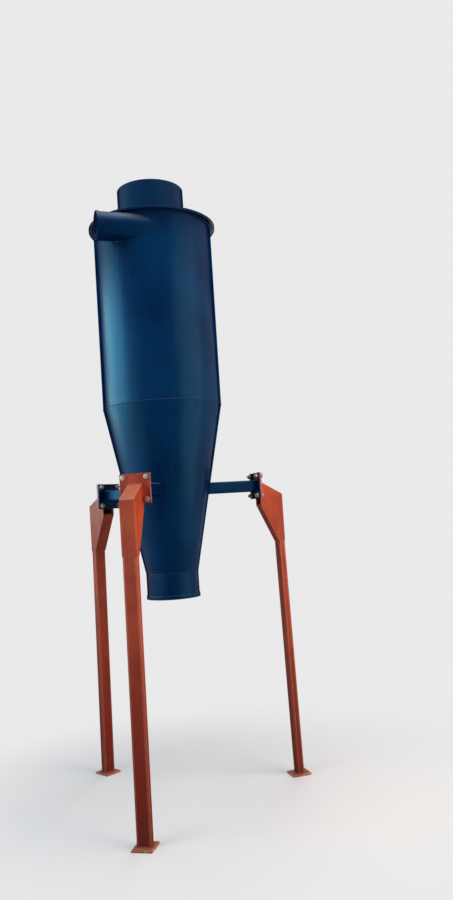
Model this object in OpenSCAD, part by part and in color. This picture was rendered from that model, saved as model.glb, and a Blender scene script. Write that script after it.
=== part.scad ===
// Cyclone separator on three legs: a welded sheet body with a tangential inlet,
// a clean gas collar on the roof, a dust outlet below, and bolted box legs.
// The gas inlet points along -X on the -Y side. The floor is z = 0.

/* [Body] */
// Outside diameter of the barrel
barrel_d = 710; // [640:10:900]
// Height of the barrel, from the cone to the roof
barrel_h = 1092; // [800:2:1500]
// Height of the cone
cone_h = 990; // [850:10:1300]
// Outside diameter of the dust outlet
outlet_d = 312; // [220:4:360]
// Length of the straight dust outlet under the cone
outlet_l = 150; // [80:5:300]
// Height of the dust outlet's edge above the floor
outlet_z = 1160; // [800:10:1500]
// Sheet thickness of the barrel, cone and dust outlet
sheet_t = 4; // [3:0.5:8]
// Height of the flat hoop round the dust outlet's edge
hoop_h = 20; // [10:1:40]
// Thickness of the flat hoops on the dust outlet and the gas inlet
hoop_t = 4; // [2:0.5:8]

/* [Roof] */
// Width of the rim flange outside the barrel
rim_w = 27; // [20:1:50]
// Thickness of the rim flange
rim_t = 8; // [5:1:14]
// Thickness of the roof plate
roof_t = 6; // [4:1:12]
// Outside diameter of the clean gas collar and the vortex finder
collar_d = 400; // [300:5:460]
// Wall of the clean gas collar and the vortex finder
collar_t = 4; // [3:0.5:8]
// Height of the clean gas collar above the roof
collar_h = 232; // [120:2:400]
// Length of the vortex finder below the roof
finder_l = 330; // [250:5:450]

/* [Gas inlet] */
// Outside diameter of the inlet pipe
inlet_d = 159; // [120:1:180]
// Wall of the inlet pipe
inlet_t = 4; // [3:0.5:8]
// Gap between the rim flange and the hoop on the inlet's mouth
inlet_gap = 1; // [0.5:0.5:60]
// Reach of the inlet pipe from the body's axis to its mouth
inlet_reach = 385; // [380:5:600]
// How far the pipe's side stands in from the barrel's surface
inlet_inset = 6; // [4:1:12]
// Width of the flat hoop round the inlet's mouth
inlet_hoop_w = 18; // [10:1:30]

/* [Bracket arms] */
// Height of the arms' axis above the cone's lower end
arm_up = 490; // [300:10:600]
// Width and height of the square arm tube
arm_w = 70; // [60:5:110]
// Wall of the arm tube
arm_t = 5; // [3:0.5:8]
// Radius of the bolted joint between arm and leg
joint_r = 565; // [540:5:650]
// Width of the joint plates
plate_w = 170; // [160:5:220]
// Height of the joint plates
plate_h = 160; // [150:5:200]
// Thickness of each joint plate
plate_t = 10; // [6:1:16]

/* [Joint bolts] */
// Shank diameter of the joint bolts
bolt_d = 16; // [12:2:16]
// Diameter of the bolt holes
bolt_hole_d = 18; // [18:0.5:20]
// Distance between the bolts across a plate
bolt_gap_w = 130; // [126:2:136]
// Distance between the bolts up a plate
bolt_gap_h = 120; // [90:2:122]

/* [Legs] */
// Width of the leg tube, along the circle of the legs
post_w = 80; // [60:5:85]
// Depth of the leg tube, towards the body
post_d = 40; // [30:5:60]
// Wall of the leg tube and of the leg head
post_t = 4; // [3:0.5:6]
// Outward lean of the leg tubes below their heads, in degrees
post_lean = 1.1; // [0:0.1:3]
// Reach of the leg head from its plate to the leg's outer face
head_reach = 145; // [110:5:200]
// Height of the leg head's open side on its plate
head_side_h = 148; // [120:2:150]
// Drop of the leg head's foot below the arm's axis
head_drop = 350; // [250:10:450]
// Fall of the leg head's top from the plate to its outer face
head_fall = 84; // [40:2:120]
// Drop of the head's lower edge on its plate below the arm's axis
head_low = 122; // [90:2:124]
// Width of the foot plates, along the circle of the legs
foot_w = 110; // [95:5:160]
// Length of the foot plates, towards the body
foot_l = 120; // [80:5:180]
// Thickness of the foot plates
foot_t = 10; // [6:1:20]

/* [Hidden] */
$fn = 360;

leg_step = 120;

barrel_r = barrel_d / 2;
outlet_r = outlet_d / 2;
rim_r = barrel_r + rim_w;
collar_r = collar_d / 2;
inlet_r = inlet_d / 2;

cone_z = outlet_z + outlet_l;
barrel_z = cone_z + cone_h;
rim_z = barrel_z + barrel_h;
roof_z = rim_z + roof_t;

inlet_z = rim_z - rim_t - inlet_gap - hoop_t - inlet_r;
inlet_y = -(barrel_r - inlet_inset - inlet_r);

arm_z = cone_z + arm_up;
leg_face_r = joint_r + plate_t + head_reach;
post_r = leg_face_r - post_d / 2;
kink_z = arm_z - head_drop;
head_foot_z = arm_z - head_low;
head_top_z = head_foot_z + head_side_h;
post_l = (kink_z - foot_t) / cos(post_lean);
foot_r = post_r + (kink_z - foot_t) * tan(post_lean);

// The origin is the middle of the footprint, so the body's axis stands off it.
foot_out = foot_r + foot_l / 2;
foot_turn = leg_step / 2;
foot_back = foot_out * cos(foot_turn) + foot_w / 2 * sin(foot_turn);
axis_x = (max(foot_back, inlet_reach) - foot_out) / 2;

// A bolt's hexagon, head and nut follow its shank.
hex_per_bolt = 1.73;
head_per_bolt = 0.62;
nut_per_bolt = 0.8;
hex_d = bolt_d * hex_per_bolt;
bolt_head_h = bolt_d * head_per_bolt;
bolt_nut_h = bolt_d * nut_per_bolt;
bolt_tail = 4;
shank_facets = 24;

// Upright thickness of a leg head's steep underside, where it meets its plate.
underside_t = 2 * post_t;

// Cold-formed tube has a corner of about twice its wall.
corner_per_wall = 2;
arm_corner = arm_t * corner_per_wall;
post_corner = post_t * corner_per_wall;

// Extra length that a cutter needs past the faces it goes through.
past = 2;

body_colour = [0.02, 0.16, 0.27];
leg_colour = [0.72, 0.29, 0.13];
bolt_colour = [0.55, 0.55, 0.53];

// Moves a piece drawn round the z axis to the body's own axis.
module on_axis() {
    translate([axis_x, 0, 0])
        children();
}

// Turns a piece drawn along +X to the place of leg number n.
module at_leg(n) {
    on_axis()
        rotate([0, 0, leg_step * (n - 1)])
            children();
}

// A round ring or tube of outside radius r, wall t and height h from z up.
module ring(r, t, z, h) {
    translate([0, 0, z])
        difference() {
            cylinder(h = h, r = r);
            translate([0, 0, -past])
                cylinder(h = h + 2 * past, r = r - t);
        }
}

// A bar of length l along -X on the inlet's axis, ending at the mouth.
module inlet_bar(r, l) {
    translate([-inlet_reach, inlet_y, inlet_z])
        rotate([0, 90, 0])
            cylinder(h = l, r = r);
}

module barrel() {
    color(body_colour)
        on_axis()
            difference() {
                ring(barrel_r, sheet_t, barrel_z, barrel_h);
                inlet_bar(inlet_r - inlet_t, inlet_reach);
            }
}

module cone() {
    color(body_colour)
        on_axis()
            rotate_extrude()
                polygon([
                    [outlet_r - sheet_t, cone_z],
                    [outlet_r, cone_z],
                    [barrel_r, barrel_z],
                    [barrel_r - sheet_t, barrel_z]
                ]);
}

module dust_outlet() {
    color(body_colour)
        on_axis()
            ring(outlet_r, sheet_t, outlet_z, outlet_l);
}

module dust_outlet_hoop() {
    color(body_colour)
        on_axis()
            ring(outlet_r + hoop_t, hoop_t, outlet_z, hoop_h);
}

module rim_flange() {
    color(body_colour)
        on_axis()
            ring(rim_r, rim_w, rim_z - rim_t, rim_t);
}

module roof_plate() {
    color(body_colour)
        on_axis()
            ring(rim_r, rim_r - collar_r + collar_t, rim_z, roof_t);
}

module clean_gas_collar() {
    color(body_colour)
        on_axis()
            ring(collar_r, collar_t, roof_z, collar_h);
}

module vortex_finder() {
    color(body_colour)
        on_axis()
            ring(collar_r, collar_t, rim_z - finder_l, finder_l);
}

// The pipe is cut to the barrel's round surface, where it is welded.
module inlet_pipe() {
    color(body_colour)
        on_axis()
            difference() {
                inlet_bar(inlet_r, inlet_reach);
                translate([-past, 0, 0])
                    inlet_bar(inlet_r - inlet_t, inlet_reach + 2 * past);
                translate([0, 0, inlet_z - inlet_d])
                    cylinder(h = 2 * inlet_d, r = barrel_r);
            }
}

module inlet_hoop() {
    color(body_colour)
        on_axis()
            difference() {
                inlet_bar(inlet_r + hoop_t, inlet_hoop_w);
                translate([-past, 0, 0])
                    inlet_bar(inlet_r, inlet_hoop_w + 2 * past);
            }
}

// The outline of a bar w by d with corners of radius r.
module rounded_bar(w, d, r) {
    square([w - 2 * r, d], center = true);
    square([w, d - 2 * r], center = true);
    for (side = [-1, 1], level = [-1, 1])
        translate([side * (w / 2 - r), level * (d / 2 - r)])
            circle(r = r);
}

// The outline of a tube w by d with wall t and outer corners of radius r.
module tube_outline(w, d, t, r) {
    difference() {
        rounded_bar(w, d, r);
        rounded_bar(w - 2 * t, d - 2 * t, r - t);
    }
}

// The arm's inner end is coped to the cone.
module bracket_arm(n) {
    color(body_colour)
        at_leg(n)
            difference() {
                translate([outlet_r, 0, arm_z])
                    rotate([0, 90, 0])
                        linear_extrude(joint_r - plate_t - outlet_r)
                            tube_outline(arm_w, arm_w, arm_t, arm_corner);
                translate([0, 0, cone_z])
                    cylinder(h = cone_h, r1 = outlet_r, r2 = barrel_r);
            }
}

// The places of the four bolts in a joint, seen along +X.
module at_bolts() {
    for (side = [-1, 1], level = [-1, 1])
        translate([0, side * bolt_gap_w / 2, arm_z + level * bolt_gap_h / 2])
            rotate([0, 90, 0])
                children();
}

module joint_plate(r_in) {
    difference() {
        translate([r_in, -plate_w / 2, arm_z - plate_h / 2])
            cube([plate_t, plate_w, plate_h]);
        at_bolts()
            translate([0, 0, r_in - past])
                cylinder(h = plate_t + 2 * past, d = bolt_hole_d);
    }
}

module arm_plate(n) {
    color(body_colour)
        at_leg(n)
            joint_plate(joint_r - plate_t);
}

module leg_plate(n) {
    color(leg_colour)
        at_leg(n)
            joint_plate(joint_r);
}

module joint_bolt() {
    translate([0, 0, joint_r + plate_t])
        cylinder(h = bolt_head_h, d = hex_d, $fn = 6);
    translate([0, 0, joint_r - plate_t - bolt_nut_h])
        cylinder(h = bolt_nut_h, d = hex_d, $fn = 6);
    translate([0, 0, joint_r - plate_t - bolt_nut_h - bolt_tail])
        cylinder(h = 2 * plate_t + bolt_nut_h + bolt_tail, d = bolt_d, $fn = shank_facets);
}

module joint_bolts(n) {
    color(bolt_colour)
        at_leg(n)
            at_bolts()
                joint_bolt();
}

// An upright outline of radius and height, drawn w wide across the leg's line.
module leg_slab(w, outline) {
    translate([0, w / 2, 0])
        rotate([90, 0, 0])
            linear_extrude(w)
                polygon(outline);
}

// A tapered box: two cheeks, an outer face, a falling top and a sloping underside.
module leg_head(n) {
    seat = [joint_r + plate_t, head_foot_z];
    seat_top = [joint_r + plate_t, head_top_z];
    nose = [leg_face_r, head_top_z - head_fall];
    toe = [leg_face_r, kink_z];
    heel = [leg_face_r - post_d, kink_z];
    cheek = [seat, seat_top, nose, toe, heel];
    color(leg_colour)
        at_leg(n)
            union() {
                for (side = [-1, 1])
                    translate([0, side * (post_w - post_t) / 2, 0])
                        leg_slab(post_t, cheek);
                leg_slab(post_w, [seat_top, nose, nose - [0, post_t], seat_top - [0, post_t]]);
                leg_slab(post_w, [nose, toe, toe - [post_t, 0], nose - [post_t, 0]]);
                leg_slab(post_w, [seat, heel, heel + [post_t, 0], seat + [0, underside_t]]);
            }
}

// The leaning tube is cut level under its head and on its foot plate.
module leg_post(n) {
    color(leg_colour)
        at_leg(n)
            intersection() {
                translate([post_r, 0, kink_z])
                    rotate([0, -post_lean, 0])
                        translate([0, 0, -post_l - past])
                            linear_extrude(post_l + 2 * past)
                                tube_outline(post_d, post_w, post_t, post_corner);
                translate([0, -post_w, foot_t])
                    cube([foot_out, 2 * post_w, kink_z - foot_t]);
            }
}

module foot_plate(n) {
    color(leg_colour)
        at_leg(n)
            translate([foot_r - foot_l / 2, -foot_w / 2, 0])
                cube([foot_l, foot_w, foot_t]);
}

barrel();
cone();
dust_outlet();
dust_outlet_hoop();
rim_flange();
roof_plate();
clean_gas_collar();
vortex_finder();
inlet_pipe();
inlet_hoop();
bracket_arm(1);  // bracket_arm_1
bracket_arm(2);  // bracket_arm_2
bracket_arm(3);  // bracket_arm_3
arm_plate(1);  // arm_plate_1
arm_plate(2);  // arm_plate_2
arm_plate(3);  // arm_plate_3
joint_bolts(1);  // joint_bolts_1
joint_bolts(2);  // joint_bolts_2
joint_bolts(3);  // joint_bolts_3
leg_plate(1);  // leg_plate_1
leg_plate(2);  // leg_plate_2
leg_plate(3);  // leg_plate_3
leg_head(1);  // leg_head_1
leg_head(2);  // leg_head_2
leg_head(3);  // leg_head_3
leg_post(1);  // leg_post_1
leg_post(2);  // leg_post_2
leg_post(3);  // leg_post_3
foot_plate(1);  // foot_plate_1
foot_plate(2);  // foot_plate_2
foot_plate(3);  // foot_plate_3
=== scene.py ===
# %% [markdown]
# # A cyclone separator on three bolted legs
#
# A cyclone cleans dusty air. The air enters the barrel through a pipe at a tangent, spins
# down the wall and leaves through the collar on the roof, while the dust slides down the
# cone and drops out at the bottom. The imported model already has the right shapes, so this
# lesson gives them what a drawing lacks: rounded edges, weld beads, real bolts, and paint
# that has been brushed on, dusted and knocked.

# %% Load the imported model
import math
import random

import bmesh
import bpy
from mathutils import Matrix, Vector


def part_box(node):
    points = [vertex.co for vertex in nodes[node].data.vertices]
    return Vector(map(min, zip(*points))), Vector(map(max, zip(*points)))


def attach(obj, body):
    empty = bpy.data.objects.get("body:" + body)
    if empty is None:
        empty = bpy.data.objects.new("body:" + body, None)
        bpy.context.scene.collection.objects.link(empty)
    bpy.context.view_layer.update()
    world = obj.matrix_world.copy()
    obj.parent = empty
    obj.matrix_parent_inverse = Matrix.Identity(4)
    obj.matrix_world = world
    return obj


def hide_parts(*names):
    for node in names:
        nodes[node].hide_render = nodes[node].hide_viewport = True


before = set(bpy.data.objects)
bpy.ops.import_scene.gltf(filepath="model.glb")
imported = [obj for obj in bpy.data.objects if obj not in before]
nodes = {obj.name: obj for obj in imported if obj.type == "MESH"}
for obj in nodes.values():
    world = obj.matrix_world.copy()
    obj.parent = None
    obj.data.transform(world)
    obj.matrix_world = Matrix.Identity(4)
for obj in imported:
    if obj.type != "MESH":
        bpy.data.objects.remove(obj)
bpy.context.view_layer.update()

print("nodes in the frame:", len(nodes))

# %% [markdown]
# ## Measures
#
# Places could be typed in by hand, but then a change to the drawing would leave the welds
# and bolts behind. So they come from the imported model's own boxes and corners. Only what
# those can't tell, such as the round of a tube's corner or the size of a washer, is given
# as a number.

# %% Measure the body
MM = 0.001


def middle(node):
    """The centre of a node's box."""
    low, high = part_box(node)
    return (low + high) / 2


def radius_of(node):
    """The outer radius of an upright round node."""
    low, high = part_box(node)
    return (high.x - low.x) / 2


axis_x = middle("barrel").x
barrel_r = radius_of("barrel")
outlet_r = radius_of("dust_outlet")
collar_r = radius_of("clean_gas_collar")
cone_low, cone_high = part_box("cone")
roof_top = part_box("roof_plate")[1].z
print(f"body axis at x = {axis_x:.3f} m, barrel radius {barrel_r:.3f} m")

# %% Measure the inlet
pipe_low, pipe_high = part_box("inlet_pipe")
pipe_r = (pipe_high.z - pipe_low.z) / 2
pipe_y = pipe_low.y + pipe_r
pipe_z = (pipe_low.z + pipe_high.z) / 2
print(f"inlet pipe radius {pipe_r:.4f} m, axis at y = {pipe_y:.4f}, z = {pipe_z:.3f}")

# %% Measure one leg
LEG_STEP = math.radians(120)
arm_low, arm_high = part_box("bracket_arm_1")
arm_half = (arm_high.y - arm_low.y) / 2
arm_z = (arm_low.z + arm_high.z) / 2
plate_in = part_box("arm_plate_1")[0].x - axis_x
plate_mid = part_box("leg_plate_1")[0].x - axis_x
plate_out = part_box("leg_plate_1")[1].x - axis_x
head_low, head_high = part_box("leg_head_1")
post_low, post_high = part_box("leg_post_1")
foot_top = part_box("foot_plate_1")[1].z


def at_leg(number):
    """The matrix that turns a piece drawn along +X to the place of a leg."""
    return Matrix.Translation((axis_x, 0, 0)) @ Matrix.Rotation(LEG_STEP * (number - 1), 4, "Z")


print(f"joint faces at {plate_in:.3f}, {plate_mid:.3f} and {plate_out:.3f} m from the axis")

# %% [markdown]
# ## Building blocks for materials
#
# Paint could be a picture wrapped round each piece, but a picture runs out of pixels close
# up and its seams have to be hidden. Noise that is worked out at every point has neither
# fault. A material is then a small machine of nodes, and these helpers keep each one short:
# `put` adds a node and joins what it is given, and the others add the few nodes that every
# paint needs.

# %% Colours and nodes


def linear(red, green, blue):
    """A colour read from an ordinary 0 to 255 picker, as the shader wants it."""
    out = []
    for value in (red, green, blue):
        part = value / 255
        out.append(part / 12.92 if part <= 0.04045 else ((part + 0.055) / 1.055) ** 2.4)
    return (*out, 1.0)


def put(tree, kind, joins=None, **settings):
    """Adds a node. joins maps its inputs to sockets or to plain values."""
    made = tree.nodes.new(kind)
    for key, value in settings.items():
        setattr(made, key, value)
    for key, value in (joins or {}).items():
        if isinstance(value, bpy.types.NodeSocket):
            tree.links.new(value, made.inputs[key])
        else:
            made.inputs[key].default_value = value
    return made


def start_material(name):
    """A new material with its tree, its shader and the piece's own coordinates."""
    made = bpy.data.materials.new(name)
    made.use_nodes = True
    tree = made.node_tree
    place = put(tree, "ShaderNodeTexCoord").outputs["Object"]
    return made, tree, tree.nodes["Principled BSDF"], place


print("a picker's middle grey is", round(linear(128, 128, 128)[0], 3), "to the shader")

# %% Patterns and steps


def cloud(tree, place, scale, detail, rough, stretch=(1, 1, 1)):
    """A noise pattern in metres on the piece; stretch below 1 draws it out along that axis."""
    spread = put(tree, "ShaderNodeMapping", {"Vector": place, "Scale": stretch})
    made = put(tree, "ShaderNodeTexNoise", {"Vector": spread.outputs[0], "Scale": scale,
                                            "Detail": detail, "Roughness": rough})
    return made.outputs["Fac"]


def steps(tree, factor, low, high, to_low=0.0, to_high=1.0):
    """Maps low..high smoothly to to_low..to_high and clips the rest."""
    made = put(tree, "ShaderNodeMapRange", {"Value": factor, "From Min": low, "From Max": high,
                                            "To Min": to_low, "To Max": to_high},
               interpolation_type="SMOOTHSTEP")
    return made.outputs["Result"]


print("a stroke is a cloud that is drawn out, and a patch is a cloud with steps")

# %% Sums and mixes


def maths(tree, operation, first, second):
    """One sum on two values."""
    return put(tree, "ShaderNodeMath", {0: first, 1: second}, operation=operation).outputs[0]


def colour_blend(tree, factor, first, second):
    """Mixes two colours, which are the seventh and eighth inputs of a Mix node."""
    return put(tree, "ShaderNodeMix", {0: factor, 6: first, 7: second}, data_type="RGBA").outputs[2]


def value_blend(tree, factor, first, second):
    """Mixes two plain values, which are the third and fourth inputs of a Mix node."""
    return put(tree, "ShaderNodeMix", {0: factor, 2: first, 3: second}, data_type="FLOAT").outputs[0]


def bumps(tree, height, distance, strength, under=None):
    """Turns a height into a bumpy surface; under is a rougher bump that it lies on."""
    joins = {"Height": height, "Distance": distance, "Strength": strength}
    if under is not None:
        joins["Normal"] = under
    return put(tree, "ShaderNodeBump", joins).outputs[0]


print("material helpers ready")

# %% [markdown]
# ## Body paint
#
# The body is sprayed and brushed with a deep blue enamel. Close up such paint is never one
# colour: it is thinner along the strokes, it has an orange-peel skin, the sheet under it is
# a little wavy, dust settles on what faces up, grime gathers under the seams, soot darkens
# the collar where the cleaned gas leaves, and the edges are knocked bare. Each of these is
# one noise or one step, and each changes colour, gloss or height on its own. One noise for
# everything would be less work, but then colour, gloss and bumps would all change at the
# same places, which no real paint does. The shine is drawn back where the surface turns
# away from the eye, as on paint gone chalky.

# %% Masks that the paints share
CHIP_FADE = 0.3


def facing_up(tree, low, high):
    """How far the surface faces up, from 0 to 1."""
    normal = put(tree, "ShaderNodeNewGeometry").outputs["Normal"]
    up = put(tree, "ShaderNodeSeparateXYZ", {0: normal}).outputs["Z"]
    return steps(tree, up, low, high)


def edge_mark(tree):
    """1 on the edges marked for wear, which the legs also use for a pale painted highlight, fading to 0
    a few millimetres inwards.
    """
    return put(tree, "ShaderNodeAttribute", attribute_name="worn").outputs["Fac"]


def worn_edges(tree, place, low, high):
    """Chips along the marked edges, fewer where the mark fades."""
    mark = edge_mark(tree)
    fade = maths(tree, "MULTIPLY", maths(tree, "SUBTRACT", 1.0, mark), -CHIP_FADE)
    grains = cloud(tree, place, scale=60, detail=6, rough=0.7)
    chips = steps(tree, maths(tree, "ADD", grains, fade), low, high)
    return maths(tree, "MULTIPLY", steps(tree, mark, low=0.0, high=0.1), chips)


def below_level(tree, height, level, reach):
    """1 just below a level, falling to 0 a reach further down, and 0 above it."""
    falling = steps(tree, height, level - reach, level, 0.0, 1.0)
    under = steps(tree, height, level, level + 2 * MM, 1.0, 0.0)
    return maths(tree, "MULTIPLY", falling, under)


print("masks ready")

# %% Dirt on the body
GRIME_REACH = 260 * MM
GRIME_DEPTH = 0.55
GRIME_RUNS = (1, 1, 0.035)
SOOT_REACH = 60 * MM
SOOT_DEPTH = 0.4
seam_levels = (cone_high.z, cone_low.z, roof_top)


def hanging_grime(tree, place, height):
    """Dark runs that hang down from the level seams."""
    streaks = cloud(tree, place, scale=48, detail=5, rough=0.65, stretch=GRIME_RUNS)
    runs = steps(tree, streaks, low=0.52, high=0.7)
    grime = 0.0
    for level in seam_levels:
        grime = maths(tree, "MAXIMUM", grime, below_level(tree, height, level, GRIME_REACH))
    return maths(tree, "MULTIPLY", maths(tree, "MULTIPLY", grime, runs), GRIME_DEPTH)


def settled_dust(tree, place):
    """Patchy dust on what faces up."""
    patches = cloud(tree, place, scale=7, detail=6, rough=0.65)
    thick = steps(tree, patches, low=0.3, high=0.7, to_low=0.25, to_high=0.8)
    return maths(tree, "MULTIPLY", facing_up(tree, low=0.2, high=0.9), thick)


def soot(tree, height):
    """Darkens what stands above the roof."""
    return steps(tree, height, roof_top - SOOT_REACH, roof_top + SOOT_REACH, 0.0, SOOT_DEPTH)


print("grime hangs from", [round(level, 3) for level in seam_levels])

# %% Colour of the body
PAINT_DEEP = linear(0, 19, 58)
PAINT_THIN = linear(0, 40, 81)
PAINT_WORN = linear(58, 84, 98)
BODY_DUST = linear(92, 100, 104)
BODY_GRIME = linear(10, 20, 30)
BODY_SOOT = linear(2, 14, 34)
SPECK_DEPTH = 0.3


def body_colour(tree, place, height, strokes, grime, dust):
    """The blue, with thin strokes, grime, specks, dust, chips and soot laid over it in turn."""
    patches = cloud(tree, place, scale=2.2, detail=3, rough=0.5)
    specks = steps(tree, cloud(tree, place, scale=150, detail=3, rough=0.7), low=0.68, high=0.74)
    chips = worn_edges(tree, place, low=0.57, high=0.64)
    base = colour_blend(tree, steps(tree, patches, low=0.35, high=0.7), PAINT_DEEP, PAINT_THIN)
    base = colour_blend(tree, steps(tree, strokes, low=0.5, high=0.8, to_high=0.7), base, PAINT_THIN)
    base = colour_blend(tree, grime, base, BODY_GRIME)
    base = colour_blend(tree, maths(tree, "MULTIPLY", specks, SPECK_DEPTH), base, PAINT_WORN)
    base = colour_blend(tree, dust, base, BODY_DUST)
    base = colour_blend(tree, chips, base, PAINT_WORN)
    return colour_blend(tree, soot(tree, height), base, BODY_SOOT)


print("the deep blue is", [round(part, 3) for part in PAINT_DEEP[:3]])

# %% Gloss and skin of the body
BODY_STROKES = (1, 1, 0.07)
BODY_TINT = (0.15, 0.66, 1.0, 1.0)
DIRTY_ROUGH = 0.75


def body_gloss(tree, place, grime, dust):
    """Smeared gloss, matt where dust or grime lies."""
    smear = cloud(tree, place, scale=5, detail=5, rough=0.6, stretch=(1, 1, 0.3))
    clean = steps(tree, smear, low=0.3, high=0.75, to_low=0.27, to_high=0.42)
    return value_blend(tree, maths(tree, "MAXIMUM", dust, grime), clean, DIRTY_ROUGH)


def body_skin(tree, place, strokes):
    """A slightly wavy sheet, with brush strokes on it and orange peel on those."""
    sheet = cloud(tree, place, scale=3.2, detail=1, rough=0.4, stretch=(1, 1, 0.6))
    waves = bumps(tree, sheet, distance=14 * MM, strength=0.35)
    brushed = bumps(tree, strokes, distance=1.2 * MM, strength=0.25, under=waves)
    peel = cloud(tree, place, scale=260, detail=2, rough=0.5)
    return bumps(tree, peel, distance=0.4 * MM, strength=0.5, under=brushed)


def body_paint():
    """Blue enamel with its dirt, its wear and its shine."""
    made, tree, shader, place = start_material("body_paint")
    height = put(tree, "ShaderNodeSeparateXYZ", {0: place}).outputs["Z"]
    strokes = cloud(tree, place, scale=34, detail=4, rough=0.6, stretch=BODY_STROKES)
    grime = hanging_grime(tree, place, height)
    dust = settled_dust(tree, place)
    base = body_colour(tree, place, height, strokes, grime, dust)
    tree.links.new(base, shader.inputs["Base Color"])
    tree.links.new(body_gloss(tree, place, grime, dust), shader.inputs["Roughness"])
    tree.links.new(body_skin(tree, place, strokes), shader.inputs["Normal"])
    facing = put(tree, "ShaderNodeLayerWeight").outputs["Facing"]
    shine = steps(tree, facing, low=0.35, high=0.72, to_low=0.16, to_high=0.0)
    shader.inputs["Specular IOR Level"].default_value = 0.14
    tree.links.new(shine, shader.inputs["Specular IOR Level"])
    shader.inputs["Specular Tint"].default_value = BODY_TINT
    return made


paint_body = body_paint()
print("made", paint_body.name)

# %% [markdown]
# ## Inside the body
#
# Nobody paints the inside of a cyclone. The dust keeps it scoured in the middle and cakes
# in the corners, so it is bare dark steel with a thin brown film. Only a hand's width
# inside each of the three mouths is blue, as far as the spray gun reached in. The end of
# that blue could be cut into the mesh, but a mask with a little noise is ragged as spray
# is, and it follows when a size changes.

# %% Paint that reached into the mouths
SPRAY_FULL = 50 * MM
SPRAY_END = 110 * MM
RAGGED = 60 * MM
COLLAR_SPRAY = 60 * MM
collar_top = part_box("clean_gas_collar")[1].z
outlet_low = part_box("dust_outlet")[0].z


def sprayed_from(tree, distance, mouth):
    """1 at a mouth, falling to 0 a hand's width further on."""
    return steps(tree, distance, mouth + SPRAY_FULL, mouth + SPRAY_END, 1.0, 0.0)


def mouth_spray(tree, place):
    """1 at the three mouths, falling raggedly to 0 a hand's width inside."""
    parts = put(tree, "ShaderNodeSeparateXYZ", {0: place})
    ragged = maths(tree, "MULTIPLY", cloud(tree, place, scale=30, detail=5, rough=0.6), RAGGED)
    along = maths(tree, "ADD", parts.outputs["X"], ragged)
    level = maths(tree, "ADD", parts.outputs["Z"], ragged)
    inlet = sprayed_from(tree, along, pipe_low.x)
    outlet = sprayed_from(tree, level, outlet_low)
    collar = steps(tree, level, collar_top - COLLAR_SPRAY, collar_top, 0.0, 1.0)
    return maths(tree, "MAXIMUM", inlet, maths(tree, "MAXIMUM", outlet, collar))


print(f"mouths at z = {collar_top:.3f}, z = {outlet_low:.3f} and x = {pipe_low.x:.3f} m")

# %% Bare steel inside
STEEL_DARK = linear(34, 36, 40)
STEEL_FILM = linear(66, 58, 50)


def bare_inside():
    """Dark steel with a brown film, blue where the spray reached."""
    made, tree, shader, place = start_material("bare_inside")
    film = cloud(tree, place, scale=6, detail=6, rough=0.65, stretch=(1, 1, 0.25))
    spray = mouth_spray(tree, place)
    base = colour_blend(tree, steps(tree, film, low=0.35, high=0.7), STEEL_DARK, STEEL_FILM)
    base = colour_blend(tree, spray, base, PAINT_DEEP)
    tree.links.new(base, shader.inputs["Base Color"])
    rough = steps(tree, film, low=0.3, high=0.7, to_low=0.42, to_high=0.8)
    tree.links.new(rough, shader.inputs["Roughness"])
    clean = steps(tree, film, low=0.4, high=0.65, to_low=0.5, to_high=0.05)
    metal = maths(tree, "MULTIPLY", clean, maths(tree, "SUBTRACT", 1.0, spray))
    tree.links.new(metal, shader.inputs["Metallic"])
    shader.inputs["Specular IOR Level"].default_value = 0.25
    grain = cloud(tree, place, scale=90, detail=4, rough=0.6)
    tree.links.new(bumps(tree, grain, distance=0.6 * MM, strength=0.4), shader.inputs["Normal"])
    return made


steel_inside = bare_inside()
print("made", steel_inside.name)

# %% [markdown]
# ## Leg paint
#
# The legs are rolled with an orange enamel. It is bright where it was laid thick, browner
# where the roller ran dry, and deeper and redder towards the floor as painted shade, and
# brooms and boots scuff it dark low down. It is thin at the corners of the tube, where a
# paler line along the edge is partly thin paint and partly a painted highlight, and chipped
# through to the primer where things knock against it. It could be the body's paint in
# another colour, but the body's dirt hangs from its seams and this dirt rises from the floor,
# so it is a material of its own.

# %% Dirt low on the legs
SCUFF_FULL = 20 * MM
SCUFF_END = 1.0
SCUFF_DEPTH = 0.5
SPLASH_END = 0.2
SPLASH_DEPTH = 0.5


def floor_dirt(tree, place, height):
    """Scuffs up to a metre high, and splashes just above the floor."""
    low_part = steps(tree, height, SCUFF_FULL, SCUFF_END, 1.0, 0.0)
    scuffs = steps(tree, cloud(tree, place, scale=24, detail=7, rough=0.7), low=0.47, high=0.64)
    scuffed = maths(tree, "MULTIPLY", scuffs, maths(tree, "MULTIPLY", low_part, SCUFF_DEPTH))
    splash = steps(tree, height, 0.0, SPLASH_END, SPLASH_DEPTH, 0.0)
    spots = steps(tree, cloud(tree, place, scale=40, detail=5, rough=0.6), low=0.3, high=0.6)
    return maths(tree, "MAXIMUM", scuffed, maths(tree, "MULTIPLY", splash, spots))


print(f"scuffs end {SCUFF_END} m up the legs, and splashes {SPLASH_END} m up")

# %% Colour of the legs
LEG_BRIGHT = linear(184, 75, 43)
LEG_DULL = linear(148, 53, 34)
# Painted shade: the deeper red that the legs take towards the floor.
LEG_LOW_SHADE = linear(116, 24, 8)
LEG_GRIME = linear(72, 32, 22)
LEG_PRIMER = linear(196, 150, 128)
# A pale line along the edges, partly thin paint and partly a painted highlight.
LEG_THIN_EDGE_AND_HIGHLIGHT = linear(190, 116, 90)
LEG_DUST = linear(168, 122, 98)
DUST_DEPTH = 0.4
THIN_EDGE_AND_HIGHLIGHT_DEPTH = 0.5
SCRATCH_DEPTH = 0.5
SCRATCHES = (1, 1, 0.06)


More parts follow.
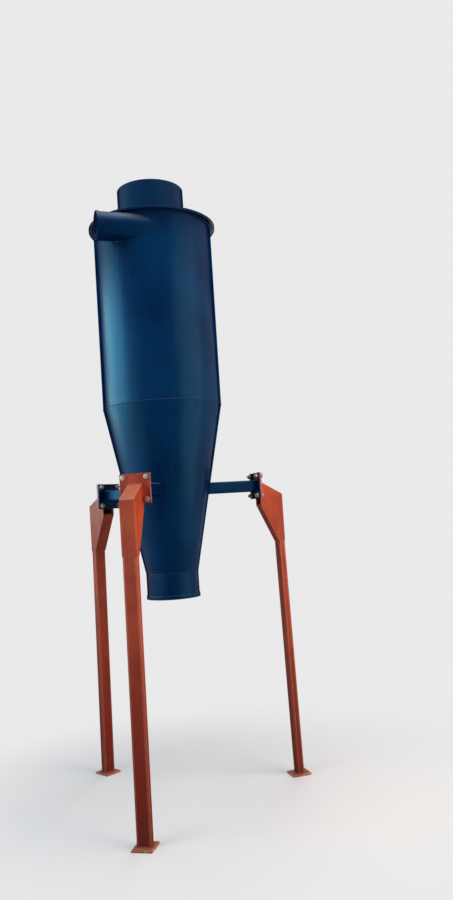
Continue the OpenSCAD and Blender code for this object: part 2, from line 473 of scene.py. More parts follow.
def leg_colour(tree, place, height, strokes, grime):
    """The orange, darkened towards the floor as painted shade, then dirt, pale edges of scant
    paint and painted highlight, and chips laid over it.
    """
    patches = cloud(tree, place, scale=4, detail=4, rough=0.6)
    # Painted shade: the orange darkens smoothly towards the floor.
    painted_low_shade = steps(tree, height, low=0.1, high=1.7, to_low=0.95, to_high=0.0)
    dust = maths(tree, "MULTIPLY", facing_up(tree, low=0.4, high=0.95), DUST_DEPTH)
    # Pale edge line: partly thin paint, partly a painted highlight.
    thin_edge_and_highlight = maths(tree, "MULTIPLY", edge_mark(tree), THIN_EDGE_AND_HIGHLIGHT_DEPTH)
    lines = cloud(tree, place, scale=70, detail=4, rough=0.6, stretch=SCRATCHES)
    scratch = maths(tree, "MULTIPLY", steps(tree, lines, low=0.7, high=0.74), SCRATCH_DEPTH)
    chips = maths(tree, "MAXIMUM", worn_edges(tree, place, low=0.5, high=0.58), scratch)
    base = colour_blend(tree, steps(tree, patches, low=0.35, high=0.68), LEG_BRIGHT, LEG_DULL)
    base = colour_blend(tree, steps(tree, strokes, low=0.48, high=0.72, to_high=0.6), base, LEG_DULL)
    base = colour_blend(tree, painted_low_shade, base, LEG_LOW_SHADE)
    base = colour_blend(tree, grime, base, LEG_GRIME)
    base = colour_blend(tree, dust, base, LEG_DUST)
    base = colour_blend(tree, thin_edge_and_highlight, base, LEG_THIN_EDGE_AND_HIGHLIGHT)
    return colour_blend(tree, chips, base, LEG_PRIMER)


print("the bright orange is", [round(part, 3) for part in LEG_BRIGHT[:3]])

# %% Leg paint
LEG_STROKES = (1, 1, 0.1)
SCUFFED_ROUGH = 0.8


def leg_skin(tree, place, strokes):
    """The lines of the roller with its stipple on them."""
    rolled = bumps(tree, strokes, distance=1 * MM, strength=0.3)
    stipple = cloud(tree, place, scale=190, detail=3, rough=0.6)
    return bumps(tree, stipple, distance=0.5 * MM, strength=0.5, under=rolled)


def leg_paint():
    """Orange enamel with painted shade towards the floor, scuffed below."""
    made, tree, shader, place = start_material("leg_paint")
    height = put(tree, "ShaderNodeSeparateXYZ", {0: place}).outputs["Z"]
    strokes = cloud(tree, place, scale=26, detail=5, rough=0.6, stretch=LEG_STROKES)
    grime = floor_dirt(tree, place, height)
    tree.links.new(leg_colour(tree, place, height, strokes, grime), shader.inputs["Base Color"])
    clean = steps(tree, strokes, low=0.3, high=0.7, to_low=0.45, to_high=0.62)
    tree.links.new(value_blend(tree, grime, clean, SCUFFED_ROUGH), shader.inputs["Roughness"])
    tree.links.new(leg_skin(tree, place, strokes), shader.inputs["Normal"])
    facing = put(tree, "ShaderNodeLayerWeight").outputs["Facing"]
    shine = steps(tree, facing, low=0.4, high=0.75, to_low=0.2, to_high=0.02)
    shader.inputs["Specular IOR Level"].default_value = 0.18
    tree.links.new(shine, shader.inputs["Specular IOR Level"])
    return made


paint_leg = leg_paint()
print("made", paint_leg.name)

# %% [markdown]
# ## Bolt steel
#
# The joint bolts are zinc plated: a pale grey metal, a little cloudy, with dirt in it. One
# plain colour would look fresh from the box, so a single fine noise dulls both the colour
# and the gloss. They are small, and more would not be seen.

# %% Bolt steel
ZINC_CLEAN = linear(170, 152, 142)
ZINC_DIRTY = linear(108, 84, 72)


def bolt_steel():
    """Cloudy zinc with dirt in it."""
    made, tree, shader, place = start_material("bolt_steel")
    film = cloud(tree, place, scale=120, detail=5, rough=0.6)
    base = colour_blend(tree, steps(tree, film, low=0.35, high=0.7), ZINC_CLEAN, ZINC_DIRTY)
    tree.links.new(base, shader.inputs["Base Color"])
    rough = steps(tree, film, low=0.3, high=0.7, to_low=0.4, to_high=0.7)
    tree.links.new(rough, shader.inputs["Roughness"])
    shader.inputs["Metallic"].default_value = 0.75
    grain = cloud(tree, place, scale=500, detail=2, rough=0.5)
    tree.links.new(bumps(tree, grain, distance=0.2 * MM, strength=0.4), shader.inputs["Normal"])
    return made


zinc = bolt_steel()
print("made", zinc.name)

# %% [markdown]
# ## Rounded copies of the plates and tubes
#
# Drawn edges are perfectly sharp, and nothing in a workshop is. A Bevel modifier could
# round them, but it can't say afterwards which faces it made, and those are the ones that
# wear. A CAD mesh is also a bag of loose triangles. So a copy is merged, its flat faces are
# joined again, and only then are its sharp edges rounded, and the rounded faces get a mark
# that the paints read as wear, and that the leg paint also reads as a pale line of thin paint
# and painted highlight. The mark doesn't stop dead at the end of a rounding, so a broad
# flat beside one gets a narrow border over which the mark fades, cut with an inset. A flat
# with bolt holes is left whole, because an inset from its holes and from its outline would
# run into each other.

# %% Make a piece from a mesh


def finish_piece(mesh, name, material):
    """Makes a piece of the object from a finished mesh."""
    piece = bpy.data.objects.new(name, mesh)
    bpy.context.scene.collection.objects.link(piece)
    mesh.materials.append(material)
    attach(piece, "root")
    return piece


print("nothing on a cyclone moves, so every piece rides on the root")

# %% Find the flats of a mesh
SAME_PLANE = 0.9999


def flat_regions(faces):
    """Groups of touching faces that lie in one plane."""
    left = dict.fromkeys(faces)
    while left:
        front = [left.popitem()[0]]
        region = []
        while front:
            face = front.pop()
            region.append(face)
            for other in [f for e in face.edges for f in e.link_faces]:
                if other in left and other.normal.dot(face.normal) > SAME_PLANE:
                    del left[other]
                    front.append(other)
        yield region


def width_of(region):
    """Twice the area by the length of the outline, which is the width of a long strip."""
    edges = [e for f in region for e in f.edges]
    outline = sum(e.calc_length() for e in edges if edges.count(e) == 1)
    return 2 * sum(f.calc_area() for f in region) / outline


def has_holes(region):
    """Corners less edges plus faces is 1 for a whole patch, and each hole takes one away."""
    corners = {v for f in region for v in f.verts}
    edges = {e for f in region for e in f.edges}
    return len(corners) - len(edges) + len(region) != 1


print("two faces share a plane within", round(math.degrees(math.acos(SAME_PLANE)), 1), "degrees")

# %% Mark the wear
BORDER = 5 * MM
NARROW = 3
TUBE_CORNER_MARK = 0.5


def sort_flats(flats, reach, level):
    """Gives the narrow flats their level of edge mark, and returns the faces of the broad ones.

    A flat narrower than the border is a facet of a tube's round corner, and half marked. One
    under three borders is the edge face of a plate, and wholly marked.
    """
    broad = []
    for region in flat_regions(flats):
        width = width_of(region)
        if width < NARROW * reach:
            level.update((f, TUBE_CORNER_MARK if width < reach else 1.0) for f in region)
        elif not has_holes(region):
            broad += region
    return broad


def add_edge_mark(form, rounded, mark, reach):
    """Marks faces for wear and for the legs' painted edge highlight, and cuts a border into the broad
    flats over which the mark fades.
    """
    broad = []
    level = {f: 1.0 for f in rounded}
    if reach:
        broad = sort_flats([f for f in form.faces if f not in rounded], reach, level)
    border = bmesh.ops.inset_region(form, faces=broad, thickness=reach, use_even_offset=True,
                                    use_boundary=True)
    for face in form.faces:
        for loop in face.loops:
            loop[mark] = level.get(face, 0.0)
    for face in border["faces"]:
        for loop in face.loops:
            loop[mark] = max(level.get(f, 0.0) for f in loop.vert.link_faces)


print(f"wear fades out over {BORDER / MM:.0f} mm")

# %% Round the edges of a node
MERGE = 0.01 * MM
FLAT_WITHIN = math.radians(0.4)
ROUND_ABOVE = math.radians(30)
SMOOTH_BELOW = math.radians(28)


def soft_edges(node, name, material, width, border=BORDER):
    """Stands a copy with rounded, worn edges in the place of a node."""
    form = bmesh.new()
    form.from_mesh(nodes[node].data)
    bmesh.ops.remove_doubles(form, verts=form.verts, dist=MERGE)
    bmesh.ops.dissolve_limit(form, angle_limit=FLAT_WITHIN, verts=form.verts, edges=form.edges)
    corners = [e for e in form.edges if e.is_manifold and e.calc_face_angle() > ROUND_ABOVE]
    rounded = bmesh.ops.bevel(form, geom=corners, offset=width, segments=2, profile=0.5,
                              affect="EDGES", clamp_overlap=True, material=-1)
    # The worn mark also drives the pale painted edge highlight on the legs.
    mark = form.loops.layers.float.new("worn")
    add_edge_mark(form, set(rounded["faces"]), mark, border)
    open_edges = sum(not e.is_manifold for e in form.edges)
    mesh = bpy.data.meshes.new(name)
    form.to_mesh(mesh)
    form.free()
    mesh.shade_smooth()
    mesh.set_sharp_from_angle(angle=SMOOTH_BELOW)
    piece = finish_piece(mesh, name, material)
    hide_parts(node)
    print(f"{name}: {len(corners)} edges rounded, {open_edges} left open")


print(f"edges sharper than {math.degrees(ROUND_ABOVE):.0f} degrees get rounded")

# %% Round the legs
TUBE_EDGE = 3 * MM
BOX_EDGE = 1.5 * MM
PLATE_EDGE = 1 * MM

for number in (1, 2, 3):
    soft_edges(f"leg_post_{number}", f"post_tube_{number}", paint_leg, TUBE_EDGE)
    soft_edges(f"leg_head_{number}", f"head_box_{number}", paint_leg, BOX_EDGE)
    soft_edges(f"leg_plate_{number}", f"head_plate_{number}", paint_leg, PLATE_EDGE)
    soft_edges(f"foot_plate_{number}", f"floor_plate_{number}", paint_leg, BOX_EDGE)

# %% Round the arms
for number in (1, 2, 3):
    soft_edges(f"bracket_arm_{number}", f"arm_tube_{number}", paint_body, TUBE_EDGE)
    soft_edges(f"arm_plate_{number}", f"arm_end_plate_{number}", paint_body, PLATE_EDGE)

# %% Round the roof and its rim
soft_edges("roof_plate", "roof_disc", paint_body, PLATE_EDGE, border=0)
soft_edges("rim_flange", "rim_ring", paint_body, PLATE_EDGE, border=0)
soft_edges("dust_outlet_hoop", "outlet_band", paint_body, PLATE_EDGE, border=0)
soft_edges("inlet_hoop", "inlet_band", paint_body, PLATE_EDGE, border=0)

# %% [markdown]
# ## The shells keep their drawn shape
#
# The barrel, cone, tubes and pipe are thin rolled sheet. They could be copied and rounded
# too, but their edges lie under a bead or a hoop or are as thin as the sheet, so it would
# hardly show. They only get materials: paint on the faces that look away from their own
# axis, and bare steel on the ones that look in.

# %% Paint the shells
LOOKS_IN = -0.5


def paint_shell(node, centre, direction):
    """Paints a round shell outside and leaves it bare inside."""
    mesh = nodes[node].data
    mesh.materials.clear()
    mesh.materials.append(paint_body)
    mesh.materials.append(steel_inside)
    inside = 0
    for face in mesh.polygons:
        reach = face.center - centre
        reach -= reach.dot(direction) * direction
        if face.normal.dot(reach.normalized()) < LOOKS_IN:
            face.material_index = 1
            inside += 1
    print(f"{node}: {inside} of {len(mesh.polygons)} faces are bare")


upright = Vector((0, 0, 1))
body_centre = Vector((axis_x, 0, 0))
for shell in ("barrel", "cone", "dust_outlet", "clean_gas_collar", "vortex_finder"):
    paint_shell(shell, body_centre, upright)
paint_shell("inlet_pipe", Vector((0, pipe_y, pipe_z)), Vector((1, 0, 0)))

# %% [markdown]
# ## Weld beads
#
# The body is rolled sheet, so every ring and every corner is a weld. A bead is a small
# rope of metal with a ripple every few millimetres. It could be a bump in the paint, but a
# bump is missing from the outline and from the shadow, and there a bead shows most. So a
# curve with a round section follows each seam, and its radius rises and falls from point to
# point to make the ripples.

# %% A rippled bead along a path
RIPPLE = 4 * MM
RIPPLE_DIP = 0.86
chance = random.Random(7)


def spaced(points, closed):
    """The same path with a point every ripple."""
    ends = points + [points[0]] if closed else points
    out = []
    for start, end in zip(ends, ends[1:]):
        count = max(1, round((end - start).length / RIPPLE))
        out += [start.lerp(end, i / count) for i in range(count)]
    return out if closed else out + [ends[-1]]


def add_bead(curve, points, radius, closed=True):
    """Adds one bead to a curve of beads."""
    path = spaced(points, closed)
    line = curve.splines.new("POLY")
    line.points.add(len(path) - 1)
    for index, point in enumerate(path):
        line.points[index].co = (*point, 1)
        ripple = 1.0 if index % 2 else RIPPLE_DIP
        line.points[index].radius = radius * ripple * chance.uniform(0.93, 1.07)
    line.use_cyclic_u = closed


print(f"a point every {RIPPLE / MM:.0f} mm")

# %% Start and finish a curve of beads


def bead_curve():
    """An empty curve. Its depth is 1, so a point's radius is the bead's radius in metres."""
    curve = bpy.data.curves.new("beads", "CURVE")
    curve.dimensions = "3D"
    curve.bevel_depth = 1.0
    curve.bevel_resolution = 1
    curve.use_fill_caps = True
    return curve


def finish_beads(curve, name, material):
    """Turns a curve of beads into a mesh piece."""
    holder = bpy.data.objects.new("bead_holder", curve)
    bpy.context.scene.collection.objects.link(holder)
    ready = holder.evaluated_get(bpy.context.evaluated_depsgraph_get())
    mesh = bpy.data.meshes.new_from_object(ready)
    mesh.name = name
    bpy.data.objects.remove(holder)
    mesh.materials.clear()
    mesh.shade_smooth()
    print(f"{name}: {len(curve.splines)} beads, {len(mesh.polygons)} faces")
    finish_piece(mesh, name, material)


print("the beads of one paint share one curve")

# %% Rings, and the saddle of the inlet


def ring(radius, z, count=72):
    """A level circle round the body's axis."""
    turns = [2 * math.pi * i / count for i in range(count)]
    return [Vector((axis_x + radius * math.cos(t), radius * math.sin(t), z)) for t in turns]


def saddle(count=96):
    """Where the inlet pipe meets the round barrel."""
    out = []
    for index in range(count):
        turn = 2 * math.pi * index / count
        y = pipe_y + pipe_r * math.cos(turn)
        x = axis_x - math.sqrt(barrel_r ** 2 - y ** 2)
        out.append(Vector((x, y, pipe_z + pipe_r * math.sin(turn))))
    return out


saddle_reach = [point.x for point in saddle()]
print(f"the saddle runs from x = {min(saddle_reach):.3f} to {max(saddle_reach):.3f} m")

# %% Frames with rounded corners
SQUARE = ((-1, -1), (1, -1), (1, 1), (-1, 1))


def round_corners(corners, radius, count=5):
    """A closed path of square corners, with each corner turned into a small arc."""
    out = []
    for before, corner, after in zip(corners[-1:] + corners[:-1], corners, corners[1:] + corners[:1]):
        back = (before - corner).normalized() * radius
        onward = (after - corner).normalized() * radius
        centre = corner + back + onward
        for index in range(count):
            turn = math.pi / 2 * index / (count - 1)
            out.append(centre - onward * math.cos(turn) - back * math.sin(turn))
    return out


def upright_frame(reach, low, high, half_side, corner, number):
    """A rounded upright rectangle that faces the body's axis, at the place of a leg."""
    heights = {-1: low, 1: high}
    square = [Vector((reach, a * half_side, heights[b])) for a, b in SQUARE]
    return [at_leg(number) @ point for point in round_corners(square, corner)]


def level_frame(near, far, half_side, z, corner, number):
    """A rounded level rectangle round a leg's tube."""
    reaches = {-1: near, 1: far}
    square = [Vector((reaches[a], b * half_side, z)) for a, b in SQUARE]
    return [at_leg(number) @ point for point in round_corners(square, corner)]


print("a frame goes round through", len(SQUARE), "corners")

# %% The coped end of an arm
ARM_CORNER = 10 * MM
slope = (barrel_r - outlet_r) / (cone_high.z - cone_low.z)


def cope(number):
    """Where a square arm meets the cone."""
    square = [Vector((0, a * arm_half, arm_z + b * arm_half)) for a, b in SQUARE]
    out = []
    for point in spaced(round_corners(square, ARM_CORNER), True):
        reach = outlet_r + (point.z - cone_low.z) * slope
        out.append(at_leg(number) @ Vector((math.sqrt(reach ** 2 - point.y ** 2), point.y, point.z)))
    return out


print(f"the cone widens by {slope:.3f} m for every metre up")

# %% Lay the beads of the body
SINK = 1.4 * MM
OFFSET = 1 * MM
BIG_BEAD = 4.2 * MM
RING_BEAD = 3.2 * MM
SLIM_BEAD = 2.6 * MM
rim_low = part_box("rim_flange")[0].z
hoop_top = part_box("dust_outlet_hoop")[1].z

body_beads = bead_curve()
add_bead(body_beads, ring(barrel_r - SINK, cone_high.z), RING_BEAD)
add_bead(body_beads, ring(outlet_r - SINK, cone_low.z), RING_BEAD)
add_bead(body_beads, ring(collar_r + OFFSET, roof_top + OFFSET), RING_BEAD)
add_bead(body_beads, ring(barrel_r + OFFSET, rim_low - OFFSET), RING_BEAD)
add_bead(body_beads, ring(outlet_r + OFFSET, hoop_top + OFFSET), SLIM_BEAD)
add_bead(body_beads, saddle(), BIG_BEAD)
for number in (1, 2, 3):
    add_bead(body_beads, cope(number), BIG_BEAD)
    add_bead(body_beads, upright_frame(plate_in - OFFSET, arm_z - arm_half, arm_z + arm_half, arm_half,
                                       ARM_CORNER, number), BIG_BEAD)
print("beads on the body so far:", len(body_beads.splines))

# %% Lay the upright seams of the rolled sheets
barrel_seam = math.radians(118)
cone_seam = math.radians(95)


def radial(angle, radius, z):
    """A point on the body at an angle, a radius and a height."""
    return Vector((axis_x + radius * math.cos(angle), radius * math.sin(angle), z))


def add_seam(angle, low_r, low_z, high_r, high_z):
    """One upright bead, from a low to a high point of the body."""
    ends = [radial(angle, low_r - SINK, low_z), radial(angle, high_r - SINK, high_z)]
    add_bead(body_beads, ends, SLIM_BEAD, False)


add_seam(barrel_seam, barrel_r, cone_high.z, barrel_r, rim_low)
add_seam(cone_seam, outlet_r, cone_low.z, barrel_r, cone_high.z)
add_seam(barrel_seam, outlet_r, hoop_top, outlet_r, cone_low.z)
add_seam(barrel_seam, collar_r, roof_top, collar_r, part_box("clean_gas_collar")[1].z - OFFSET)
finish_beads(body_beads, "body_welds", paint_body)

# %% Measure a leg's head
ON_FACE = 1 * MM
head_half = (head_high.y - head_low.y) / 2
corners_of_head = [v.co for v in nodes["leg_head_1"].data.vertices]
seat_low = min(c.z for c in corners_of_head if c.x - axis_x < plate_out + ON_FACE)
nose_high = max(c.z for c in corners_of_head if c.x > head_high.x - ON_FACE)
print(f"head seat from {seat_low:.3f} to {head_high.z:.3f} m, nose at {nose_high:.3f} m")

# %% Measure a leg's tube


def post_reach(level):
    """The near and far side of the first leg's tube at one of its ends, from the body's axis."""
    ends = [v.co for v in nodes["leg_post_1"].data.vertices if abs(v.co.z - level) < ON_FACE]
    reaches = [co.x - axis_x for co in ends]
    return min(reaches), max(reaches)


kink_near, kink_far = post_reach(post_high.z)
foot_near, foot_far = post_reach(post_low.z)
print(f"tube from {kink_near:.3f} to {kink_far:.3f} m above, {foot_near:.3f} to {foot_far:.3f} m below")

# %% Beads round a leg
HEAD_CORNER = 4 * MM
POST_CORNER = 8 * MM
KINK_CORNER = POST_CORNER / 2
KINK_BEAD = 2.2 * MM


def closed_beads(number):
    """The paths and radii of the beads round a head's seat, a tube's foot and its kink."""
    seat = upright_frame(plate_out + OFFSET, seat_low, head_high.z, head_half, HEAD_CORNER, number)
    foot = level_frame(foot_near, foot_far, head_half, foot_top + OFFSET, POST_CORNER, number)
    kink = level_frame(kink_near, kink_far, head_half, post_high.z, KINK_CORNER, number)
    return (seat, RING_BEAD), (foot, RING_BEAD), (kink, KINK_BEAD)


print("each leg has", len(closed_beads(1)), "beads that close on themselves")

# %% Beads along the corners of a head
EDGE_BEAD = 1.9 * MM
EDGE_SINK = 1 * MM
CHEEK_SINK = 0.8 * MM


def corner_beads(number, side):
    """The paths over the top and under the belly of one cheek of a head."""
    y = side * (head_half - CHEEK_SINK)
    corner_line = [(plate_out, head_high.z - EDGE_SINK), (kink_far - EDGE_SINK, nose_high - EDGE_SINK),
                   (kink_far - EDGE_SINK, post_high.z)]
    under_line = [(plate_out, seat_low + EDGE_SINK), (kink_near + EDGE_SINK, post_high.z)]
    return [[at_leg(number) @ Vector((x, y, z)) for x, z in line] for line in (corner_line, under_line)]


print("each cheek has", len(corner_beads(1, 1)), "open beads")

# %% Lay the beads of the legs
leg_beads = bead_curve()
for number in (1, 2, 3):
    for path, radius in closed_beads(number):
        add_bead(leg_beads, path, radius)
    for side in (-1, 1):
        for path in corner_beads(number, side):
            add_bead(leg_beads, path, EDGE_BEAD, False)
finish_beads(leg_beads, "leg_welds", paint_leg)

# %% [markdown]
# ## Joint bolts
#
# The drawn bolts are plain. These have what the eye looks for: a chamfered hexagon, a
# washer under it, a nut behind, and a threaded end. A true thread climbs in a helix, but
# on the few millimetres that stand out of a nut nobody can see the slope. So its rings are
# spun round like the washers, and the hexagons are six-sided cones of one width. One bolt
# is made and copied to the four corners of each joint, turned at random each time, as a
# spanner leaves them.

# %% Measures of a bolt
HEX_R = 13.84 * MM
HEX_EDGE = 1.1 * MM
HEAD_H = 9.9 * MM
NUT_H = 12.8 * MM
SHANK_R = 8 * MM
WASHER_R = 15 * MM
WASHER_H = 2.6 * MM
WASHER_EDGE = 0.5 * MM
TAIL = 7 * MM
TAIL_EDGE = 1.5 * MM
PITCH = 2 * MM
ROOT_R = SHANK_R - 1.1 * MM
print(f"a bolt of {2 * SHANK_R / MM:.0f} mm with {int(TAIL / PITCH)} rings of thread in sight")

# %% Hexagons and turned shapes
SAME_X = 1e-6


def add_hexagon(form, start, height):
    """A hexagon with its outer corners taken off, from start along +X."""
    turn = Matrix.Translation((start + height / 2, 0, 0)) @ Matrix.Rotation(math.radians(90), 4, "Y")
    made = bmesh.ops.create_cone(form, cap_ends=True, segments=6, radius1=HEX_R, radius2=HEX_R,
                                 depth=height, matrix=turn)
    rims = {e for v in made["verts"] for e in v.link_edges
            if abs(e.verts[0].co.x - e.verts[1].co.x) < SAME_X}
    bmesh.ops.bevel(form, geom=list(rims), offset=HEX_EDGE, segments=2, profile=0.5,
                    affect="EDGES", material=-1)


def add_turned(form, outline):
    """Spins an outline of (x, radius) round the X axis."""
    points = [form.verts.new((x, 0, r)) for x, r in outline]
    edges = [form.edges.new(pair) for pair in zip(points, points[1:])]
    bmesh.ops.spin(form, geom=points + edges, cent=(0, 0, 0), axis=(1, 0, 0), dvec=(0, 0, 0),
                   angle=2 * math.pi, steps=24, use_merge=True, use_normal_flip=False)


print("hexagons are cut and washers are turned")

# %% Shape one bolt


def add_washer(form, start):
    """A washer with its outer edges broken, from start along +X."""
    end = start + WASHER_H
    flat_r = WASHER_R - WASHER_EDGE
    add_turned(form, [(start, 0), (start, flat_r), (start + WASHER_EDGE, WASHER_R),
                      (end - WASHER_EDGE, WASHER_R), (end, flat_r), (end, 0)])


def add_tail(form, near):
    """The threaded end, from inside the nut that ends at near."""
    end = near - NUT_H - TAIL
    thread = [(end, 0), (end, SHANK_R - TAIL_EDGE)]
    for index in range(int(TAIL / PITCH)):
        thread += [(end + (index + 0.5) * PITCH, SHANK_R), (end + (index + 1) * PITCH, ROOT_R)]
    add_turned(form, thread + [(near - NUT_H / 2, ROOT_R), (near - NUT_H / 2, 0)])


def one_bolt():
    """A bolt through both plates, on the X axis."""
    form = bmesh.new()
    near = plate_in - WASHER_H
    add_hexagon(form, plate_out + WASHER_H, HEAD_H)
    add_hexagon(form, near - NUT_H, NUT_H)
    add_washer(form, plate_out)
    add_washer(form, near)
    add_tail(form, near)
    bmesh.ops.remove_doubles(form, verts=form.verts, dist=MERGE)
    bmesh.ops.recalc_face_normals(form, faces=form.faces)
    return form


bolt_form = one_bolt()
print("one bolt has", len(bolt_form.faces), "faces")

# %% Copy the bolt to the joints
bolts_low, bolts_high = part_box("joint_bolts_1")
bolt_side = (bolts_high.y - bolts_low.y) / 2 - HEX_R * math.cos(math.radians(30))
bolt_up = (bolts_high.z - bolts_low.z) / 2 - HEX_R


def add_bolt(joint, number, side, level):
    """Adds a copy of the bolt at one corner of a joint."""
    single = bpy.data.meshes.new("single_bolt")
    copy = bolt_form.copy()
    spin = Matrix.Rotation(chance.uniform(0, math.pi), 4, "X")
    place = Matrix.Translation((0, side * bolt_side, arm_z + level * bolt_up))
    bmesh.ops.transform(copy, matrix=at_leg(number) @ place @ spin, verts=copy.verts)
    copy.to_mesh(single)
    copy.free()
    joint.from_mesh(single)
    bpy.data.meshes.remove(single)


for number in (1, 2, 3):
    joint = bmesh.new()
    for side in (-1, 1):
        for level in (-1, 1):
            add_bolt(joint, number, side, level)
    mesh = bpy.data.meshes.new(f"bolt_set_{number}")
    joint.to_mesh(mesh)
    joint.free()
    mesh.shade_smooth()
    mesh.set_sharp_from_angle(angle=SMOOTH_BELOW)
    piece = finish_piece(mesh, f"bolt_set_{number}", zinc)
    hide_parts(f"joint_bolts_{number}")
print(f"bolts {2 * bolt_side / MM:.0f} by {2 * bolt_up / MM:.0f} mm apart")

# %% [markdown]
# ## Camera
#
# The photograph was taken by hand at eye height, so the camera stands 1.6 m up, looks a
# little upwards and leans by nearly four degrees. It could be turned by three angles, but
# their order is easily mixed up. So its axes are worked out from the direction that it
# looks in, then leaned, and put into the camera's matrix.

# %% Work out the camera's axes
HEADING = math.radians(71.59)
PITCH_UP = math.radians(2.71)
LEAN = math.radians(3.69)

ahead = Vector((math.cos(HEADING), math.sin(HEADING), 0))
right = Vector((math.sin(HEADING), -math.cos(HEADING), 0))
look = ahead * math.cos(PITCH_UP) + upright * math.sin(PITCH_UP)
crown = -ahead * math.sin(PITCH_UP) + upright * math.cos(PITCH_UP)
lean_right = right * math.cos(LEAN) - crown * math.sin(LEAN)
lean_up = right * math.sin(LEAN) + crown * math.cos(LEAN)
print("the camera looks along", [round(part, 3) for part in look])

# %% Place the camera
EYE = Vector((-1.203, -4.525, 1.626))
FOCAL_PIXELS = 767
RIGHT_PIXELS = -15.4
UP_PIXELS = 28.3
FRAME_HEIGHT = 900
SENSOR = 36

camera = bpy.data.objects.new("camera", bpy.data.cameras.new("camera"))
bpy.context.scene.collection.objects.link(camera)
turned = Matrix((lean_right, lean_up, -look)).transposed().to_4x4()
camera.matrix_world = Matrix.Translation(EYE) @ turned
camera.data.sensor_width = SENSOR
camera.data.lens = SENSOR * FOCAL_PIXELS / FRAME_HEIGHT
camera.data.shift_x = RIGHT_PIXELS / FRAME_HEIGHT
camera.data.shift_y = UP_PIXELS / FRAME_HEIGHT
bpy.context.scene.camera = camera
print(f"lens {camera.data.lens:.1f} mm")

# %% [markdown]
# ## Floor and light
#
# A pale floor takes the shadow and fades to the backdrop in the distance. The floor and the
# world are pale only to the eye and to reflections, so that they don't flood the paint with
# light. The bright upright stripe down the barrel is the reflection of a wide soft box on
# the left that is seen in gloss alone. A weaker one beside it lights the left side, a large
# warm one on the right lights the legs, one behind keeps the back readable, and one
# overhead fills in the rest. A sun would be simpler, but its shadows are hard and its
# reflection is a dot.

# %% Floor
FLOOR_REACH = 40

floor_form = bmesh.new()
bmesh.ops.create_circle(floor_form, cap_ends=True, segments=96, radius=FLOOR_REACH)
floor_mesh = bpy.data.meshes.new("floor")
floor_form.to_mesh(floor_mesh)
floor_form.free()
floor = bpy.data.objects.new("floor", floor_mesh)
bpy.context.scene.collection.objects.link(floor)
print("the floor reaches", FLOOR_REACH, "m out")

# %% Floor finish
PALE = (0.82, 0.82, 0.82, 1)
FLOOR_TONE = (0.71, 0.725, 0.75, 1)
FLOOR_BOUNCE = (0.3, 0.3, 0.3, 1)
FADE_START = 0.7
FADE_END = 2.1


def seen_directly(tree):
    """1 for what the eye, a mirror or a glass sees, 0 for light that falls on things."""
    ray = put(tree, "ShaderNodeLightPath")
    seen = maths(tree, "MAXIMUM", ray.outputs["Is Camera Ray"], ray.outputs["Is Glossy Ray"])
    return maths(tree, "MAXIMUM", seen, ray.outputs["Is Transmission Ray"])


def floor_finish():
    """Matt near the object, and as pale as the backdrop further out."""
    made, tree, shader, place = start_material("floor_finish")
    tone = colour_blend(tree, seen_directly(tree), FLOOR_BOUNCE, FLOOR_TONE)
    tree.links.new(tone, shader.inputs["Base Color"])
    shader.inputs["Roughness"].default_value = 0.9
    shader.inputs["Specular IOR Level"].default_value = 0.0
    reach = put(tree, "ShaderNodeVectorMath", {0: place}, operation="LENGTH").outputs["Value"]
    far = maths(tree, "MULTIPLY", steps(tree, reach, FADE_START, FADE_END), seen_directly(tree))
    glow = put(tree, "ShaderNodeEmission", {"Color": PALE, "Strength": 1.0})
    mixed = put(tree, "ShaderNodeMixShader", {0: far, 1: shader.outputs[0], 2: glow.outputs[0]})
    tree.links.new(mixed.outputs[0], tree.nodes["Material Output"].inputs["Surface"])
    return made


floor_mesh.materials.append(floor_finish())
print(f"the floor fades between {FADE_START} and {FADE_END} m from the middle")

# %% World
SKY_LIGHT = 0.22

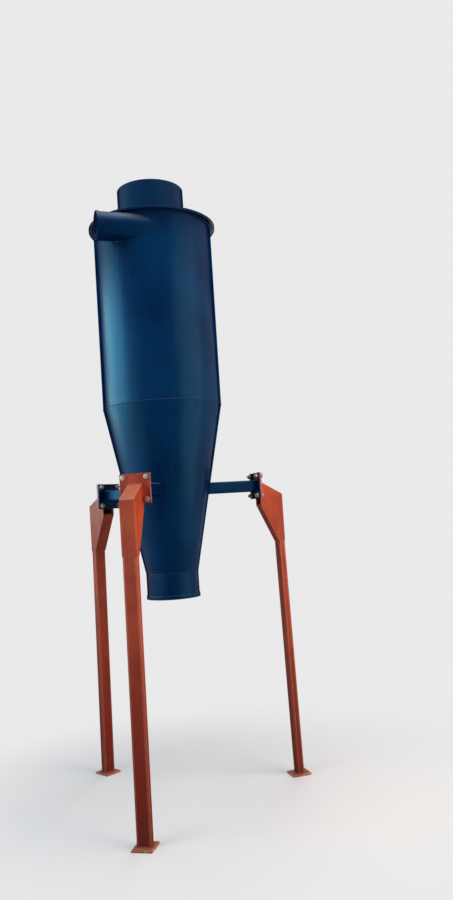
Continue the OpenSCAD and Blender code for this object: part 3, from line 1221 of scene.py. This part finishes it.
world = bpy.data.worlds.new("pale_world")
bpy.context.scene.world = world
world.use_nodes = True
sky = world.node_tree
falling = put(sky, "ShaderNodeBackground", {"Color": (1, 1, 1, 1), "Strength": SKY_LIGHT})
shown = put(sky, "ShaderNodeBackground", {"Color": PALE, "Strength": 1.0})
both = put(sky, "ShaderNodeMixShader", {0: seen_directly(sky), 1: falling.outputs[0],
                                        2: shown.outputs[0]})
sky.links.new(both.outputs[0], sky.nodes["World Output"].inputs["Surface"])
print("the world looks", PALE[0], "pale and lights with", SKY_LIGHT)

# %% Soft boxes


def soft_box(name, place, target, width, height, power, colour, shines=True):
    """A soft rectangular lamp. One that doesn't shine is only seen in reflections."""
    lamp = bpy.data.lights.new(name, "AREA")
    lamp.shape = "RECTANGLE"
    lamp.size = width
    lamp.size_y = height
    lamp.energy = power
    lamp.color = colour
    holder = bpy.data.objects.new(name, lamp)
    bpy.context.scene.collection.objects.link(holder)
    holder.location = place
    holder.rotation_euler = (target - place).to_track_quat("-Z", "Y").to_euler()
    holder.visible_camera = False
    holder.visible_diffuse = shines
    print(f"{name}: {width} by {height} m, {power} W")


print("the camera never sees a soft box itself")

# %% Place the soft boxes
body_middle = Vector((axis_x, 0, 2.2))
left = -right

soft_box("left_glow", place=body_middle + left * 3.2 - ahead * 0.2 + upright * 0.7,
         target=body_middle + upright * 0.7, width=3.3, height=2.2, power=270,
         colour=(0.38, 0.9, 1.0), shines=False)
soft_box("left_fill", place=body_middle + left * 2.6 - ahead * 1.9, target=body_middle,
         width=2.2, height=2.6, power=48, colour=(0.78, 0.92, 1.0))
soft_box("right_key", place=body_middle + right * 3.2 - ahead * 1.6 + upright * 0.2,
         target=body_middle - upright * 0.4, width=3.0, height=4.0, power=140,
         colour=(1.0, 0.82, 0.66))
soft_box("back_fill", place=body_middle + ahead * 3.2 + right * 1.0, target=body_middle,
         width=2.0, height=2.6, power=50, colour=(0.9, 0.95, 1))
soft_box("overhead", place=body_middle + upright * 3.4 - ahead * 0.6, target=body_middle,
         width=3.6, height=3.6, power=150, colour=(0.94, 0.97, 1))

# %% [markdown]
# ## Close the lesson
#
# The Standard view transform shows the colours as they are given, without a film look.

# %% Finish
bpy.context.scene.view_settings.view_transform = "Standard"
